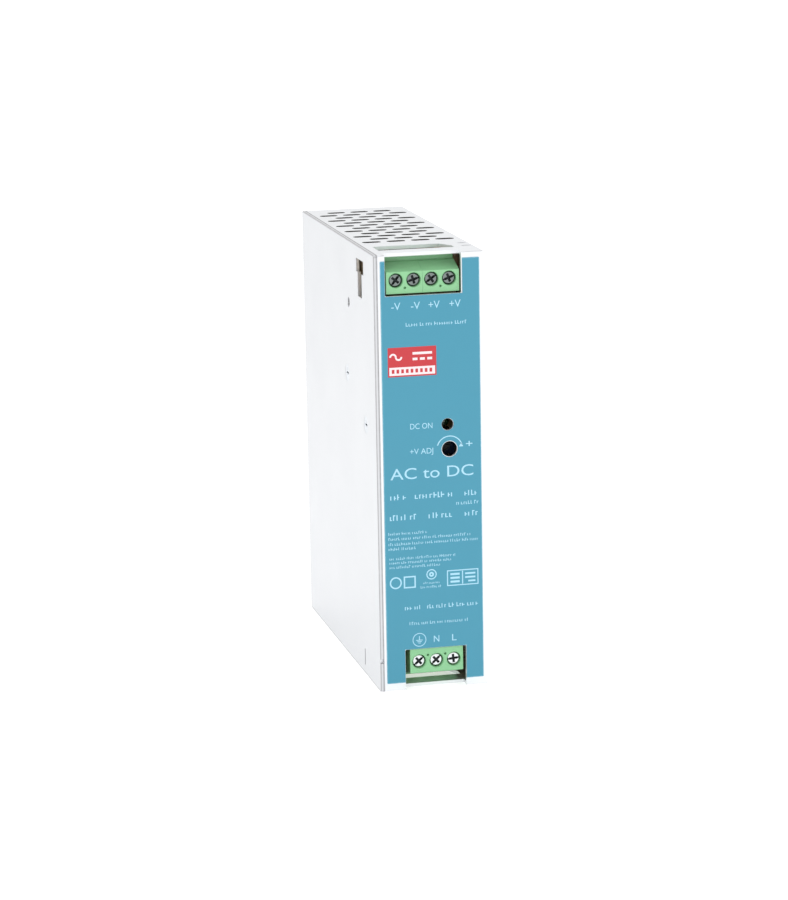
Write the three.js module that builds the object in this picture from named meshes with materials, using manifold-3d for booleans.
// DIN rail power supply in a sheet-metal case.
// Millimetres, +Z up, the front faces -Y, origin on the floor under the middle of the bounding box.

import * as THREE from 'three';
import { mergeVertices } from 'three/addons/utils/BufferGeometryUtils.js';
import Module from 'manifold-3d';

const wasm = await Module();
wasm.setup();

// ---------------------------------------------------------------- driving dimensions

const WIDTH = 32;
const HEIGHT = 125.2;
const TOTAL_DEPTH = 102;
const SHEET = 1;
const LABEL_THICKNESS = 0.2;
const CLIP_DEPTH = 4;
const CASE_DEPTH = TOTAL_DEPTH - CLIP_DEPTH - LABEL_THICKNESS;
// Depths are counted backwards from the outer face of the front sheet.
const FRONT_Y = -TOTAL_DEPTH / 2 + LABEL_THICKNESS;

const LEFT = -WIDTH / 2;
const RIGHT = WIDTH / 2;
const INNER_LEFT = LEFT + SHEET;
const INNER_RIGHT = RIGHT - SHEET;

const POLE_PITCH = 5.08;
const OUTPUT = { poles: 4, x: -1.8, screwZ: 117.7, up: 1, fold: 2.4 };
const INPUT = { poles: 3, x: 0.65, screwZ: 7.85, up: -1, fold: 3.3 };
const NOTCH_DEPTH = 3;
const WINDOW_FRONT = 8.7;
const WINDOW_REAR = 16.3;
const OUTPUT_NOTCH = { left: -12.8, right: 8.95, edge: 113.55 };
const INPUT_NOTCH = { left: -8.7, right: 9.1, edge: 11.9 };

// Each round end of a slot is drawn with twice this many sides.
const SLOT_STEPS = 2;
const VENT = { length: 5.5, width: 2.6, pitchX: 7.13, pitchDepth: 11.64, firstDepth: 25.25, rows: 6 };

const LED_HOLE = { x: 4.5, z: 76.5, radius: 1.7 };
const TRIM_HOLE = { x: 5, z: 69.4, radius: 2.2 };
const SIDE_SCREW = { depth: 36.6, z: 85.9 };
const COVER_SCREW = { depth: 13.1, z: 75.1 };
const SIDE_HOLE = { depth: 33.2, z: 107.1, radius: 1.4 };
const M3_CLEARANCE = 1.7;
const TAPPED_HOLE = 1.3;
// Narrow slits in the top near the right-hand edge, one behind the other.
const SLIT = { x: 13.2, depths: [10.4, 15.6], length: 2.8, width: 0.9 };
// Ears of the shell that lie folded in against the side cover.
const EARS = {
  front: { depth0: SHEET - 0.2, depth1: 18, z0: 69, z1: 81 },
  rear: { depth0: CASE_DEPTH - 9, depth1: CASE_DEPTH - 0.8, z0: 58, z1: 72 },
};
const FILM = { edge: 14.15, bottom: 2.3, top: 123.4, margin: 0.35, holeMargin: 0.4 };

const BOARD_THICKNESS = 1.6;
const MAIN_BOARD_X = 10.4;
const MAIN_BOARD = { depth0: 18, depth1: 94, z0: 4, z1: 121 };
const TERMINAL_BOARD_DEPTH = 15.3;
const POST_DEPTH = 52;
const POSTS = { lower: 28, upper: 98 };
const LINER = { thickness: 0.4, depth0: 3, depth1: 92, z0: 3, z1: 122 };
const RAIL_CENTRE_Z = 64.5;
const RAIL_WIDTH = 35;
const BRACKET_SCREW_X = 9;

// ---------------------------------------------------------------- finishes

function finish(color, roughness, metalness) {
  return new THREE.MeshStandardMaterial({ color, roughness, metalness });
}

const caseMetal = finish('#e4e6e8', 0.38, 0.85);
const labelFilm = finish('#4b9fbd', 0.5, 0);
const boardTan = finish('#c9a878', 0.6, 0);
const linerTan = finish('#d8b98e', 0.75, 0);
const terminalGreen = finish('#86c98b', 0.45, 0);
const screwSteel = finish('#b9bcbe', 0.3, 1);
const cageSteel = finish('#c4bfa6', 0.4, 1);
const zincSteel = finish('#c2c6c9', 0.4, 1);
const whitePlastic = finish('#ece9e1', 0.6, 0);
const blackPlastic = finish('#1d1e20', 0.5, 0);
const blueTrimmer = finish('#2b62b5', 0.4, 0);
const greenLens = finish('#5fae63', 0.2, 0);
const copperWire = finish('#b4652f', 0.35, 0.7);
const ferrite = finish('#37383a', 0.7, 0);
const yellowFilm = finish('#d9c03f', 0.5, 0);
const capacitorSleeve = finish('#24303f', 0.4, 0);
const spreaderMetal = finish('#b7babd', 0.45, 1);
const discBlue = finish('#2f6fae', 0.5, 0);
const springSteel = finish('#9a9d9f', 0.3, 1);
const fuseGlass = finish('#d7dcd8', 0.2, 0);
const greenBoard = finish('#2f6b46', 0.5, 0);

// ---------------------------------------------------------------- solids

function toSolid(geometry) {
  const bare = geometry.index ? geometry.toNonIndexed() : geometry.clone();
  bare.deleteAttribute('normal');
  bare.deleteAttribute('uv');
  const merged = mergeVertices(bare, 1e-4);
  return new wasm.Manifold(new wasm.Mesh({
    numProp: 3,
    vertProperties: merged.attributes.position.array,
    triVerts: Uint32Array.from(merged.index.array),
  }));
}

function toGeometry(solid) {
  const mesh = solid.getMesh();
  const geometry = new THREE.BufferGeometry();
  geometry.setAttribute('position', new THREE.BufferAttribute(mesh.vertProperties, 3));
  geometry.setIndex(new THREE.BufferAttribute(mesh.triVerts, 1));
  return geometry;
}

function join(...solids) {
  return solids.reduce((whole, next) => whole.add(next));
}

function cut(body, tools) {
  return tools.reduce((rest, tool) => rest.subtract(tool), body);
}

// A box between two x values, two depths behind the front sheet and two heights.
function block(x0, x1, depth0, depth1, z0, z1) {
  const geometry = new THREE.BoxGeometry(x1 - x0, depth1 - depth0, z1 - z0);
  geometry.translate((x0 + x1) / 2, FRONT_Y + (depth0 + depth1) / 2, (z0 + z1) / 2);
  return toSolid(geometry);
}

// A box in a piece's own frame, for pieces that are placed by position.
function localBox(x0, x1, y0, y1, z0, z1) {
  const geometry = new THREE.BoxGeometry(x1 - x0, y1 - y0, z1 - z0);
  geometry.translate((x0 + x1) / 2, (y0 + y1) / 2, (z0 + z1) / 2);
  return toSolid(geometry);
}

const TURN_TO = {
  x: new THREE.Matrix4().makeRotationZ(-Math.PI / 2),
  y: new THREE.Matrix4(),
  z: new THREE.Matrix4().makeRotationX(Math.PI / 2),
};

// A round bar along an axis, centred on a point.
function rod(axis, radius, length, [x, y, z], sides = 16) {
  const geometry = new THREE.CylinderGeometry(radius, radius, length, sides);
  geometry.applyMatrix4(TURN_TO[axis]).translate(x, y, z);
  return toSolid(geometry);
}

// A turned solid from a profile of [radius, height] points, its axis laid along x, y or z.
function turned(axis, profile, sides = 16) {
  const points = profile.map(([radius, height]) => new THREE.Vector2(radius, height));
  return toSolid(new THREE.LatheGeometry(points, sides).applyMatrix4(TURN_TO[axis]));
}

function outline(points) {
  return new THREE.Shape(points.map(([u, v]) => new THREE.Vector2(u, v)));
}

const EXTRUDE_ALONG = {
  // The outline is drawn in depth and height.
  x: new THREE.Matrix4().makeBasis(
    new THREE.Vector3(0, 1, 0), new THREE.Vector3(0, 0, 1), new THREE.Vector3(1, 0, 0)),
  // The outline is drawn in x and height.
  y: new THREE.Matrix4().makeBasis(
    new THREE.Vector3(1, 0, 0), new THREE.Vector3(0, 0, 1), new THREE.Vector3(0, -1, 0)),
  // The outline is drawn in x and depth.
  z: new THREE.Matrix4(),
};

// An outline carried from one place to another along an axis, in the piece's own frame.
function prism(axis, shape, from, to, curveSegments = 1) {
  const geometry = new THREE.ExtrudeGeometry(shape, { depth: to - from, bevelEnabled: false, curveSegments });
  geometry.applyMatrix4(EXTRUDE_ALONG[axis]);
  const start = axis === 'y' ? to : from;
  const offset = { x: [start, 0, 0], y: [0, start, 0], z: [0, 0, start] }[axis];
  return toSolid(geometry.translate(...offset));
}

// A slot with round ends, centred on a point and lying along x.
function slotShape(x, depth, length, width) {
  const straight = (length - width) / 2;
  const shape = new THREE.Shape();
  shape.absarc(x + straight, depth, width / 2, -Math.PI / 2, Math.PI / 2);
  shape.absarc(x - straight, depth, width / 2, Math.PI / 2, Math.PI * 1.5);
  return shape;
}

// ---------------------------------------------------------------- assembly

const powerSupply = new THREE.Group();
powerSupply.name = 'din_rail_power_supply';

function add(name, solid, material, position = [0, 0, 0], parent = powerSupply) {
  const mesh = new THREE.Mesh(toGeometry(solid), material);
  mesh.name = name;
  mesh.position.set(...position);
  parent.add(mesh);
  return mesh;
}

// ---------------------------------------------------------------- case

function ventCutters(z0, z1) {
  const cutters = [];
  for (let row = 0; row < VENT.rows; row += 1) {
    const depth = VENT.firstDepth + row * VENT.pitchDepth;
    for (const [count, shift] of [[4, 0], [3, VENT.pitchDepth / 2]]) {
      for (let i = 0; i < count; i += 1) {
        const x = (i - (count - 1) / 2) * VENT.pitchX;
        const shape = slotShape(x, FRONT_Y + depth + shift, VENT.length, VENT.width);
        cutters.push(prism('z', shape, z0, z1, SLOT_STEPS));
      }
    }
  }
  return cutters;
}

// The long window behind the bridge, with its rear right corner cut off.
function windowCutter(notch, z0, z1) {
  const right = notch.right + 0.3;
  const shape = outline([
    [notch.left + 0.3, FRONT_Y + WINDOW_FRONT],
    [right, FRONT_Y + WINDOW_FRONT],
    [right, FRONT_Y + WINDOW_FRONT + 2.6],
    [right - 2.4, FRONT_Y + WINDOW_REAR],
    [notch.left + 0.3, FRONT_Y + WINDOW_REAR],
  ]);
  return prism('z', shape, z0, z1);
}

function mainShell() {
  const whole = block(INNER_LEFT, RIGHT, 0, CASE_DEPTH, 0, HEIGHT);
  const hollow = block(INNER_LEFT - SHEET, INNER_RIGHT, SHEET, CASE_DEPTH - SHEET, SHEET, HEIGHT - SHEET);
  const above = [HEIGHT - 2 * SHEET, HEIGHT + SHEET];
  const below = [-SHEET, 2 * SHEET];
  const frontY = FRONT_Y + SHEET / 2;
  const openings = [
    block(OUTPUT_NOTCH.left, OUTPUT_NOTCH.right, -SHEET, NOTCH_DEPTH, OUTPUT_NOTCH.edge, above[1]),
    block(INPUT_NOTCH.left, INPUT_NOTCH.right, -SHEET, NOTCH_DEPTH, below[0], INPUT_NOTCH.edge),
    windowCutter(OUTPUT_NOTCH, ...above),
    windowCutter(INPUT_NOTCH, ...below),
    rod('y', LED_HOLE.radius, 2 * SHEET, [LED_HOLE.x, frontY, LED_HOLE.z]),
    rod('y', TRIM_HOLE.radius, 2 * SHEET, [TRIM_HOLE.x, frontY, TRIM_HOLE.z]),
    ...ventCutters(...above),
    ...ventCutters(...below),
  ];
  for (const depth of SLIT.depths) {
    const slit = slotShape(SLIT.x, FRONT_Y + depth, SLIT.length, SLIT.width);
    openings.push(prism('z', slit, ...above, SLOT_STEPS));
  }
  for (const x of [-BRACKET_SCREW_X, BRACKET_SCREW_X]) {
    openings.push(rod('y', TAPPED_HOLE, 3 * SHEET, [x, FRONT_Y + CASE_DEPTH, RAIL_CENTRE_Z]));
  }
  for (const z of Object.values(POSTS)) {
    openings.push(rod('x', TAPPED_HOLE, 3 * SHEET, [RIGHT, FRONT_Y + POST_DEPTH, z]));
  }
  const shell = cut(whole.subtract(hollow), openings);

  // The front ear takes the cover's screw.
  const [frontEar, rearEar] = [EARS.front, EARS.rear].map(
    (ear) => block(INNER_LEFT, INNER_LEFT + SHEET, ear.depth0, ear.depth1, ear.z0, ear.z1));
  const thread = rod('x', TAPPED_HOLE - 0.05, 4, [INNER_LEFT, FRONT_Y + COVER_SCREW.depth, COVER_SCREW.z], 12);
  return join(shell, frontEar.subtract(thread), rearEar);
}

function countersink(depth, z) {
  const cone = turned('x', [[0, -1.4], [M3_CLEARANCE, -1.4], [M3_CLEARANCE, -0.7], [3.4, 0.9], [0, 0.9]]);
  // The cone opens outwards, to the left.
  return cone.rotate([0, 0, 180]).translate([LEFT + 0.3, FRONT_Y + depth, z]);
}

function sideCover() {
  const radius = 0.8;
  const shape = new THREE.Shape();
  const [y0, y1] = [FRONT_Y, FRONT_Y + CASE_DEPTH];
  shape.absarc(y1 - radius, radius, radius, -Math.PI / 2, 0);
  shape.absarc(y1 - radius, HEIGHT - radius, radius, 0, Math.PI / 2);
  shape.absarc(y0 + radius, HEIGHT - radius, radius, Math.PI / 2, Math.PI);
  shape.absarc(y0 + radius, radius, radius, Math.PI, Math.PI * 1.5);
  const plate = prism('x', shape, LEFT, INNER_LEFT);
  const keyhole = outline([
    [15.4, 110.8], [20.5, 110.8], [20.5, 117.7], [22.2, 117.7],
    [22.2, 121.5], [13, 121.5], [13, 117.7], [15.4, 117.7],
  ].map(([depth, z]) => [FRONT_Y + depth, z]));
  return cut(plate, [
    prism('x', keyhole, LEFT - 1, INNER_LEFT + 1),
    block(LEFT - 1, INNER_LEFT + 1, 19.6, 20.5, 2.6, 7.4),
    block(LEFT - 1, INNER_LEFT + 1, -1, 0.7, 8.4, 9.6),
    rod('x', SIDE_HOLE.radius, 4, [LEFT, FRONT_Y + SIDE_HOLE.depth, SIDE_HOLE.z], 12),
    countersink(SIDE_SCREW.depth, SIDE_SCREW.z),
    countersink(COVER_SCREW.depth, COVER_SCREW.z),
  ]);
}

function frontLabel() {
  const { edge, bottom, top, margin, holeMargin } = FILM;
  const film = block(-edge, edge, -LABEL_THICKNESS, 0, bottom, top);
  return cut(film, [
    block(OUTPUT_NOTCH.left - margin, OUTPUT_NOTCH.right + margin, -1, 1, OUTPUT_NOTCH.edge - margin, HEIGHT),
    block(INPUT_NOTCH.left - margin, INPUT_NOTCH.right + margin, -1, 1, 0, INPUT_NOTCH.edge + margin),
    rod('y', LED_HOLE.radius + holeMargin, 2, [LED_HOLE.x, FRONT_Y, LED_HOLE.z]),
    rod('y', TRIM_HOLE.radius + holeMargin, 2, [TRIM_HOLE.x, FRONT_Y, TRIM_HOLE.z]),
  ]);
}

// Insulating card behind the side cover, cut out round the rectifier's screw and the front ear.
function sideLiner() {
  const x = INNER_LEFT + SHEET + 0.2;
  const { thickness, depth0, depth1, z0, z1 } = LINER;
  const { depth, z } = SIDE_SCREW;
  return cut(block(x, x + thickness, depth0, depth1, z0, z1), [
    block(LEFT, x + 1, depth - 2.2, depth + 2.2, z - 2.2, z + 2.2),
    block(LEFT, x + 1, depth0 - 1, EARS.front.depth1 + 0.4, EARS.front.z0 - 0.4, EARS.front.z1 + 0.4),
  ]);
}

// Insulating card between the main board and the right-hand wall.
function boardLiner() {
  const x = INNER_RIGHT - 1.4;
  const { depth0, depth1, z0, z1 } = MAIN_BOARD;
  const card = block(x, x + LINER.thickness, depth0 + 2, depth1, z0, z1);
  return cut(card, Object.values(POSTS).map((z) => rod('x', 3, 2, [x, FRONT_Y + POST_DEPTH, z], 12)));
}

add('main_shell', mainShell(), caseMetal);
add('side_cover', sideCover(), caseMetal);
add('front_label', frontLabel(), labelFilm);
add('side_liner', sideLiner(), linerTan);
add('board_liner', boardLiner(), linerTan);

// ---------------------------------------------------------------- fasteners

const CROSS_WIDTH = 0.6;

// A screw along +Y with its head towards the front, the head's face at y = 0.
function screw({ head, headLength, shank, length, cone = false, crossDepth = 0.8, sides = 12 }) {
  const shoulder = cone ? shank : head;
  const body = turned('y', [
    [0, 0], [head, 0], [shoulder, headLength], [shank, headLength], [shank, length], [0, length],
  ], sides);
  const arm = head * 0.62;
  const half = CROSS_WIDTH / 2;
  return cut(body, [
    localBox(-arm, arm, -1, crossDepth, -half, half),
    localBox(-half, half, -1, crossDepth, -arm, arm),
  ]);
}

const M3_COUNTERSUNK = { head: 2.5, headLength: 0.95, shank: 1.2, cone: true, crossDepth: 0.6 };
const M3_PAN = { head: 2.5, headLength: 1.6, shank: 1.2 };

function addScrew(name, spec, position, rotation = [0, 0, 0]) {
  const mesh = add(name, screw(spec), screwSteel, position);
  mesh.rotation.set(...rotation);
}

const FROM_LEFT = [0, 0, -Math.PI / 2];
const FROM_RIGHT = [0, 0, Math.PI / 2];
const FROM_REAR = [0, 0, Math.PI];
addScrew('rectifier_screw', { ...M3_COUNTERSUNK, length: 7 },
  [LEFT + 0.05, FRONT_Y + SIDE_SCREW.depth, SIDE_SCREW.z], FROM_LEFT);
addScrew('cover_screw', { ...M3_COUNTERSUNK, length: 4, shank: 1.1 },
  [LEFT + 0.05, FRONT_Y + COVER_SCREW.depth, COVER_SCREW.z], FROM_LEFT);

// ---------------------------------------------------------------- terminal blocks

const HOUSING = { front: 1, rear: 15, back: 3.7, wire: 5.55, slopeTop: 4.75, slopeDepth: 8, end: 0.13 };
const CAGE = {
  width: 3.8, front: 6, length: 7.2, plate: 1.2, rearPlate: 0.8, side: 0.45, height: 3.8, hole: 1.55,
};
const MOUTH = { depth: 11.3, length: 3.9, width: 3.4 };
const SCREW_BORE = 2;
// A moulding's own share of the gap between the two output blocks.
const HALF_GAP = 0.15;
const CONTACT_DEPTH = 8.4;
const SCREW_FACE_DEPTH = 1.8;

function poleX(terminal, index) {
  return terminal.x + (index - (terminal.poles - 1) / 2) * POLE_PITCH;
}

// Poles first to last of one terminal, in one moulding. Its profile is turned over for wires from below.
function housing(terminal, first, last) {
  const { up } = terminal;
  const z = (height) => terminal.screwZ + up * height;
  const span = (a, b) => [Math.min(z(a), z(b)), Math.max(z(a), z(b))];
  const points = [
    [HOUSING.front, -HOUSING.back], [HOUSING.rear, -HOUSING.back], [HOUSING.rear, HOUSING.wire],
    [HOUSING.slopeDepth, HOUSING.wire], [HOUSING.slopeDepth, HOUSING.slopeTop], [HOUSING.front, terminal.fold],
  ].map(([depth, height]) => [FRONT_Y + depth, z(height)]);
  const left = poleX(terminal, first) - POLE_PITCH / 2 - HOUSING.end;
  const right = poleX(terminal, last) + POLE_PITCH / 2 + HOUSING.end;
  const cutters = [];
  for (let pole = first; pole <= last; pole += 1) {
    const x = poleX(terminal, pole);
    const mouth = slotShape(x, FRONT_Y + MOUTH.depth, MOUTH.length, MOUTH.width);
    cutters.push(
      rod('y', SCREW_BORE, 3, [x, FRONT_Y + 2.2, terminal.screwZ], 12),
      block(x - 2.1, x + 2.1, 3.6, 14, ...span(-2.9, 2.2)),
      prism('z', mouth, ...span(2, HOUSING.wire + 1), SLOT_STEPS),
      block(x - 0.8, x + 0.8, 13.8, HOUSING.rear + 0.1, ...span(-2.95, -2.1)),
    );
  }
  return cut(prism('x', outline(points), left, right), cutters);
}

// The ring that rises towards the screw head, in a frame on the screw's axis at the front sheet.
function cage() {
  const half = CAGE.width / 2;
  const rear = CAGE.front + CAGE.length;
  return cut(localBox(-half, half, CAGE.front, rear, -CAGE.height / 2, CAGE.height / 2), [
    localBox(-half + CAGE.side, half - CAGE.side, CAGE.front + CAGE.plate, rear - CAGE.rearPlate, -5, 5),
    rod('y', CAGE.hole, 2 * CAGE.plate, [0, CAGE.front + CAGE.plate / 2, 0], 12),
  ]);
}

// A board behind the terminals, with the contact of every pole soldered into it.
function terminalBoard(terminal, z0, z1, left, right) {
  const board = block(left, right, TERMINAL_BOARD_DEPTH, TERMINAL_BOARD_DEPTH + BOARD_THICKNESS, z0, z1);
  const contacts = [];
  for (let pole = 0; pole < terminal.poles; pole += 1) {
    const x = poleX(terminal, pole);
    const z = (height) => terminal.screwZ + terminal.up * height;
    const [barLow, barHigh] = [z(-2.8), z(1.8)].sort((a, b) => a - b);
    const [pinLow, pinHigh] = [z(-2.8), z(-2.3)].sort((a, b) => a - b);
    contacts.push(
      block(x - 1.2, x + 1.2, CONTACT_DEPTH, CONTACT_DEPTH + 0.8, barLow, barHigh),
      block(x - 0.5, x + 0.5, CONTACT_DEPTH, TERMINAL_BOARD_DEPTH + 1, pinLow, pinHigh),
    );
  }
  return join(board, ...contacts);
}

const TERMINAL_SCREW = { head: 1.8, headLength: 1.5, shank: 1.35, length: 6.3, crossDepth: 0.7 };

function addTerminal(terminal, name) {
  for (let pole = 0; pole < terminal.poles; pole += 1) {
    const onAxis = [poleX(terminal, pole), FRONT_Y, terminal.screwZ];
    add(`${name}_screw_${pole + 1}`, screw(TERMINAL_SCREW), screwSteel,
      [onAxis[0], FRONT_Y + SCREW_FACE_DEPTH, onAxis[2]]);
    add(`${name}_cage_${pole + 1}`, cage(), cageSteel, onAxis);
  }
}

add('output_block_left', housing(OUTPUT, 0, 1), terminalGreen, [-HALF_GAP, 0, 0]);
add('output_block_right', housing(OUTPUT, 2, 3), terminalGreen, [HALF_GAP, 0, 0]);
add('input_block', housing(INPUT, 0, 2), terminalGreen);
addTerminal(OUTPUT, 'output');
addTerminal(INPUT, 'input');
add('output_board', terminalBoard(OUTPUT, 62, 124, -12.6, 9.8)
  .subtract(block(-13, 5.4, 15, 17.2, 117, 125)), boardTan);
add('input_board', terminalBoard(INPUT, 1.6, 34, -9.5, 9.8), boardTan);
add('terminal_barrier', block(-12.4, 4.9, 15.4, 16.8, 117.3, 124), whitePlastic);

// ---------------------------------------------------------------- lamp and voltage adjuster

function statusLed() {
  const lens = turned('y', [
    [0, 3.2], [0.85, 3.5], [1.3, 4.05], [1.5, 4.8], [1.5, 7.8], [1.9, 7.8], [1.9, 8.8], [0, 8.8],
  ]).translate([LED_HOLE.x, FRONT_Y, LED_HOLE.z]);
  const legs = [-1.27, 1.27].map((dx) => block(
    LED_HOLE.x + dx - 0.25, LED_HOLE.x + dx + 0.25, 8.5, TERMINAL_BOARD_DEPTH,
    LED_HOLE.z - 0.25, LED_HOLE.z + 0.25));
  return join(lens, ...legs);
}

const ROTOR = { radius: 1.6, depth: 6.4, length: 1.3 };

function trimmerBody() {
  const { x, z } = TRIM_HOLE;
  const can = block(x - 3.25, x + 3.25, 7, TERMINAL_BOARD_DEPTH, z - 3.3, z + 3.3);
  return can.subtract(rod('y', ROTOR.radius + 0.25, 3, [x, FRONT_Y + 7, z]));
}

function trimmerRotor() {
  const disc = rod('y', ROTOR.radius, ROTOR.length, [0, ROTOR.length / 2, 0]);
  return disc.subtract(localBox(-1.3, 1.3, -1, 0.6, -0.25, 0.25));
}

add('status_led', statusLed(), greenLens);
add('trimmer_body', trimmerBody(), blueTrimmer);
add('trimmer_rotor', trimmerRotor(), whitePlastic, [TRIM_HOLE.x, FRONT_Y + ROTOR.depth, TRIM_HOLE.z]);

// ---------------------------------------------------------------- main board and its parts

const mainBoard = cut(
  block(MAIN_BOARD_X, MAIN_BOARD_X + BOARD_THICKNESS,
    MAIN_BOARD.depth0, MAIN_BOARD.depth1, MAIN_BOARD.z0, MAIN_BOARD.z1),
  Object.values(POSTS).map((z) => rod('x', 1.6, 4, [MAIN_BOARD_X + 0.8, FRONT_Y + POST_DEPTH, z], 12)));
add('main_board', mainBoard, boardTan);

for (const [place, z] of Object.entries(POSTS)) {
  const [postLeft, postRight] = [MAIN_BOARD_X + BOARD_THICKNESS, INNER_RIGHT];
  const centre = [(postLeft + postRight) / 2, FRONT_Y + POST_DEPTH, z];
  const post = rod('x', 2.5, postRight - postLeft, centre, 6)
    .subtract(rod('x', 1.35, 6, centre, 12));
  add(`board_post_${place}`, post, zincSteel);
  addScrew(`board_screw_${place}`, { ...M3_PAN, shank: 1.1, length: 6.1 },
    [MAIN_BOARD_X - M3_PAN.headLength, FRONT_Y + POST_DEPTH, z], FROM_LEFT);
}

// A can that stands on the board, its end groove near the board.
function standingCan(radius, length, depth, z) {
  const profile = [
    [0, 0], [radius, 0], [radius, 1.2], [radius - 0.5, 1.8], [radius, 2.4],
    [radius, length - 0.4], [radius - 0.4, length], [0, length],
  ];
  return turned('x', profile, 20).rotate([0, 0, 180])
    .translate([MAIN_BOARD_X, FRONT_Y + depth, z]);
}

add('output_capacitor_front', standingCan(5, 20, 26, 112), capacitorSleeve);
add('output_capacitor_rear', standingCan(5, 20, 37.5, 112), capacitorSleeve);

function bulkCapacitor() {
  const [radius, length] = [9, 32];
  const profile = [
    [0, 0], [radius, 0], [radius, 2], [radius - 0.7, 2.8], [radius, 3.6],
    [radius, length - 0.6], [radius - 0.6, length], [0, length],
  ];
  return turned('z', profile, 24).rotate([180, 0, 0])
    .translate([MAIN_BOARD_X - radius - 0.3, FRONT_Y + 80, 6 + length]);
}

add('bulk_capacitor', bulkCapacitor(), capacitorSleeve);

function fuse() {
  return turned('y', [
    [0, 0], [2.7, 0], [2.7, 5], [2.3, 5], [2.3, 15], [2.7, 15], [2.7, 20], [0, 20],
  ], 12).translate([MAIN_BOARD_X - 3.4, FRONT_Y + 21, 8]);
}

add('fuse', fuse(), fuseGlass);

const CHOKE = { x: 4.6, depth0: 22, depth1: 42, z0: 14, z1: 32, leg: 4 };

function chokeCore() {
  const { x, depth0, depth1, z0, z1, leg } = CHOKE;
  const ring = block(x - 3, x + 3, depth0, depth1, z0, z1);
  return ring.subtract(block(x - 4, x + 4, depth0 + leg, depth1 - leg, z0 + leg, z1 - leg));
}

function chokeWinding(z) {
  const { x, depth0, depth1, leg } = CHOKE;
  const coil = block(x - 5.5, x + 5.5, depth0 + leg + 0.5, depth1 - leg - 0.5, z - 3.6, z + 3.6);
  return coil.subtract(block(x - 3.3, x + 3.3, depth0, depth1, z - 2.3, z + 2.3));
}

add('choke_core', chokeCore(), ferrite);
add('choke_winding_lower', chokeWinding(CHOKE.z0 + CHOKE.leg / 2), copperWire);
add('choke_winding_upper', chokeWinding(CHOKE.z1 - CHOKE.leg / 2), copperWire);

add('x_capacitor', block(-6, MAIN_BOARD_X - 0.3, 46, 64, 5, 15), yellowFilm);
add('varistor', rod('z', 5, 4, [MAIN_BOARD_X - 5.3, FRONT_Y + 52, 20], 16), discBlue);

function bridgeRectifier() {
  const right = MAIN_BOARD_X - 0.3;
  const shape = outline([
    [-6.9, 66], [-6.9, 46], [6.1, 46], [right, 50], [right, 66],
  ].map(([x, depth]) => [x, FRONT_Y + depth]));
  return prism('z', shape, 36, 39.6);
}

add('bridge_rectifier', bridgeRectifier(), blackPlastic);

const TRANSFORMER = { x0: -10.5, x1: 10.1, depth0: 40, depth1: 68, z0: 44, z1: 76, leg: 5.5, thick: 12 };

function transformerCore() {
  const { x0, x1, depth0, depth1, z0, z1, leg, thick } = TRANSFORMER;
  const middle = (x0 + x1) / 2;
  const [zLow, zHigh] = [(z0 + z1 - thick) / 2, (z0 + z1 + thick) / 2];
  const slab = block(x0, x1, depth0, depth1, zLow, zHigh);
  return cut(slab, [[x0 + 3, middle - leg / 2], [middle + leg / 2, x1 - 3]].map(
    ([a, b]) => block(a, b, depth0 + 4, depth1 - 4, z0, z1)));
}

function transformerWinding() {
  const { x0, x1, depth0, depth1, z0, z1, leg, thick } = TRANSFORMER;
  const middle = (x0 + x1) / 2;
  const zMiddle = (z0 + z1) / 2;
  const coil = block(x0 + 3.4, x1 - 3.4, depth0 + 4.4, depth1 - 4.4, z0 + 4, z1 - 4);
  return coil.subtract(block(
    middle - leg / 2 - 0.4, middle + leg / 2 + 0.4, depth0, depth1,
    zMiddle - thick / 2 - 0.4, zMiddle + thick / 2 + 0.4));
}

add('transformer_core', transformerCore(), ferrite);
add('transformer_winding', transformerWinding(), yellowFilm);

// ---------------------------------------------------------------- heat spreader and power semiconductors

const SPREADER = { x0: -13.2, x1: -11.2, depth0: 24, depth1: 92, z0: 79, z1: 97 };
const TAB_X = SPREADER.x1 + 0.2;
const SWITCH_DEPTH = 76;

add('heat_spreader', cut(
  block(SPREADER.x0, SPREADER.x1, SPREADER.depth0, SPREADER.depth1, SPREADER.z0, SPREADER.z1),
  [SIDE_SCREW.depth, SWITCH_DEPTH].map(
    (depth) => rod('x', 1.4, 6, [SPREADER.x0, FRONT_Y + depth, SIDE_SCREW.z], 12))), spreaderMetal);

// A power package: a metal tab with a hole, a moulded body and three legs to the board.
function powerPackage(depth) {
  const z = SIDE_SCREW.z;
  const tab = block(TAB_X, TAB_X + 1.3, depth - 5, depth + 5, z - 3, z + 12);
  const body = block(TAB_X, TAB_X + 4.4, depth - 5, depth + 5, z + 3.4, z + 12);
  const legs = [-2.54, 0, 2.54].flatMap((shift) => [
    block(TAB_X + 2, TAB_X + 2.6, depth + shift - 0.4, depth + shift + 0.4, z + 11.5, z + 15),
    block(TAB_X + 2, MAIN_BOARD_X, depth + shift - 0.4, depth + shift + 0.4, z + 14.4, z + 15),
  ]);
  return join(tab, body, ...legs)
    .subtract(rod('x', 1.6, 8, [TAB_X, FRONT_Y + depth, z], 12));
}

add('output_rectifier', powerPackage(SIDE_SCREW.depth), blackPlastic);
add('switch_transistor', powerPackage(SWITCH_DEPTH), blackPlastic);
addScrew('transistor_screw', { ...M3_PAN, length: 5.2 },
  [TAB_X + 1.3 + 0.05 + M3_PAN.headLength, FRONT_Y + SWITCH_DEPTH, SIDE_SCREW.z], FROM_RIGHT);

// ---------------------------------------------------------------- output filter and control

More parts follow.
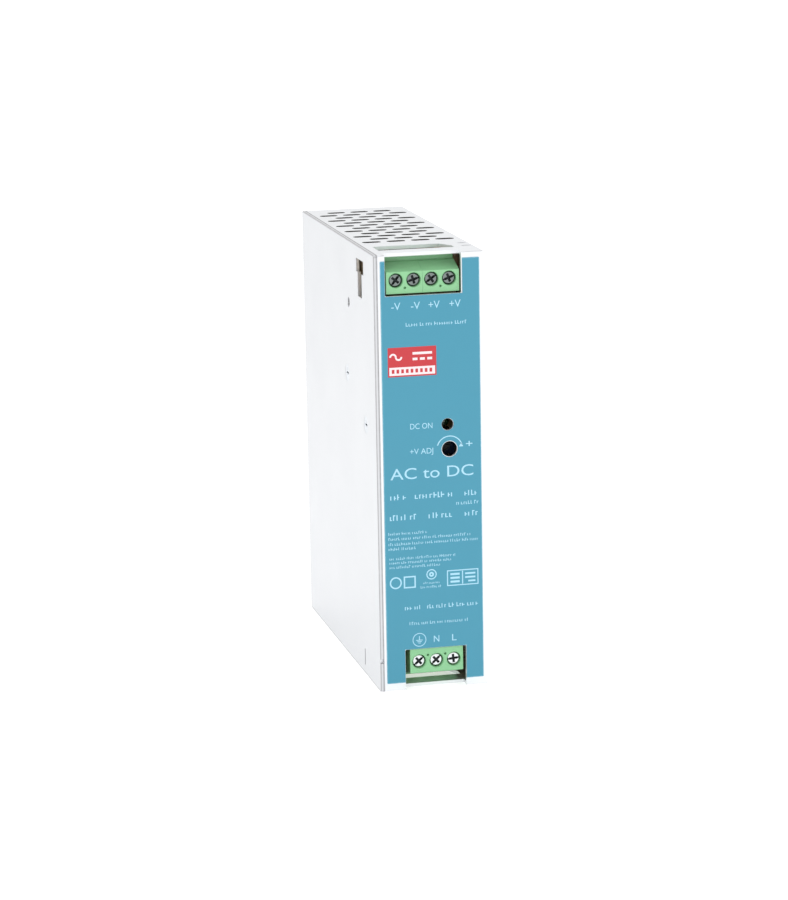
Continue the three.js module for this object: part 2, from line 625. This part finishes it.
const outputChoke = rod('x', 8, 9, [MAIN_BOARD_X - 4.8, FRONT_Y + 57, 112], 20)
  .subtract(rod('x', 3.6, 12, [MAIN_BOARD_X - 4.8, FRONT_Y + 57, 112], 16));
add('output_choke', outputChoke, copperWire);
add('optocoupler', block(MAIN_BOARD_X - 4, MAIN_BOARD_X - 0.3, 26, 33, 50, 59), blackPlastic);
add('control_board', block(-7, MAIN_BOARD_X - 0.3, 82, 83.2, 46, 72), greenBoard);

// ---------------------------------------------------------------- rail clip

const CLIP = {
  plate: 1, gauge: 1.2, halfWidth: 13, bottom: 21, top: 90,
  hookGap: 1.8, guideInner: 7.3, guideOuter: 9.3, guideLow: 24, guideHigh: 38,
};
// The raised panel that the rail's flanges bear on.
const PAD = { halfWidth: 4.6, low: 50, high: 79, height: 0.15 };
const REAR = CASE_DEPTH;
const CLIP_REAR = REAR + CLIP_DEPTH;
const RAIL_TOP = RAIL_CENTRE_Z + RAIL_WIDTH / 2;
const RAIL_BOTTOM = RAIL_CENTRE_Z - RAIL_WIDTH / 2;
const TONGUE = { low: 24.5, high: 25.7, halfWidth: 1.4 };

function railBracket() {
  const plateRear = REAR + CLIP.plate;
  const lipFront = plateRear + CLIP.hookGap;
  const plate = block(-CLIP.halfWidth, CLIP.halfWidth, REAR, plateRear, CLIP.bottom, CLIP.top);
  const pad = block(-PAD.halfWidth, PAD.halfWidth, plateRear - 0.2, plateRear + PAD.height, PAD.low, PAD.high);
  const pieces = [plate, pad];
  for (const [x0, x1] of [[-CLIP.halfWidth, -5], [5, CLIP.halfWidth]]) {
    pieces.push(block(x0, x1, plateRear - 0.2, CLIP_REAR, RAIL_TOP + 0.3, RAIL_TOP + 0.3 + CLIP.gauge));
    pieces.push(block(x0, x1, lipFront, CLIP_REAR, RAIL_TOP - 2.3, RAIL_TOP + 0.5));
  }
  for (const side of [-1, 1]) {
    const wall = [side * CLIP.guideInner, side * CLIP.guideOuter].sort((a, b) => a - b);
    const lip = [side * 5.6, side * CLIP.guideOuter].sort((a, b) => a - b);
    pieces.push(block(...wall, plateRear - 0.2, REAR + 3.8, CLIP.guideLow, CLIP.guideHigh));
    pieces.push(block(...lip, lipFront, REAR + 3.8, CLIP.guideLow, CLIP.guideHigh));
  }
  pieces.push(block(-TONGUE.halfWidth, TONGUE.halfWidth, plateRear - 0.2, REAR + 3.8, TONGUE.low, TONGUE.high));
  const holes = [-BRACKET_SCREW_X, BRACKET_SCREW_X].map(
    (x) => rod('y', 1.5, 4, [x, FRONT_Y + REAR, RAIL_CENTRE_Z], 12));
  return cut(join(...pieces), holes);
}

function railLatch() {
  const front = REAR + CLIP.plate + 0.3;
  const hookTop = RAIL_BOTTOM + 2.3;
  const plate = block(-7, 7, front, front + CLIP.gauge, 15, RAIL_BOTTOM - 0.3);
  const arm = block(-7, 7, front, CLIP_REAR, RAIL_BOTTOM - 2.1, RAIL_BOTTOM - 0.3);
  const lip = prism('x', outline([
    [CLIP_REAR - 1.2, RAIL_BOTTOM - 1], [CLIP_REAR, RAIL_BOTTOM - 1],
    [CLIP_REAR, RAIL_BOTTOM], [CLIP_REAR - 0.8, hookTop], [CLIP_REAR - 1.2, hookTop],
  ].map(([depth, z]) => [FRONT_Y + depth, z])), -7, 7);
  const pull = block(-7, 7, front, CLIP_REAR, 13.8, 15.2);
  return cut(join(plate, arm, lip, pull), [
    block(-2.4, 2.4, REAR, CLIP_REAR + 1, 24, 36),
    block(-3.5, 3.5, REAR, front + 2, 17.4, 20.4),
  ]);
}

const SPRING = { radius: 1.15, wire: 0.22, turns: 6, low: 25.8, high: 35.9, y: FRONT_Y + REAR + 2.55 };

class SpringCurve extends THREE.Curve {
  getPoint(t, target = new THREE.Vector3()) {
    const angle = t * SPRING.turns * Math.PI * 2;
    const rise = SPRING.high - SPRING.low - 2 * SPRING.wire;
    return target.set(
      SPRING.radius * Math.cos(angle), SPRING.radius * Math.sin(angle), SPRING.wire + rise * t);
  }
}

function latchSpring() {
  const section = new THREE.Shape();
  const sides = 5;
  const ring = Array.from({ length: sides }, (_, i) => {
    const angle = (i / sides) * Math.PI * 2;
    return new THREE.Vector2(SPRING.wire * Math.cos(angle), SPRING.wire * Math.sin(angle));
  });
  section.setFromPoints(ring);
  return toSolid(new THREE.ExtrudeGeometry(section, {
    extrudePath: new SpringCurve(), steps: SPRING.turns * 10, bevelEnabled: false,
  }));
}

add('rail_bracket', railBracket(), zincSteel);
add('rail_latch', railLatch(), zincSteel);
add('latch_spring', latchSpring(), springSteel, [0, SPRING.y, SPRING.low]);
addScrew('bracket_screw_left', { ...M3_PAN, headLength: 1.2, shank: 1.15, length: 5 },
  [-BRACKET_SCREW_X, FRONT_Y + REAR + CLIP.plate + 1.2, RAIL_CENTRE_Z], FROM_REAR);
addScrew('bracket_screw_right', { ...M3_PAN, headLength: 1.2, shank: 1.15, length: 5 },
  [BRACKET_SCREW_X, FRONT_Y + REAR + CLIP.plate + 1.2, RAIL_CENTRE_Z], FROM_REAR);

export default powerSupply;
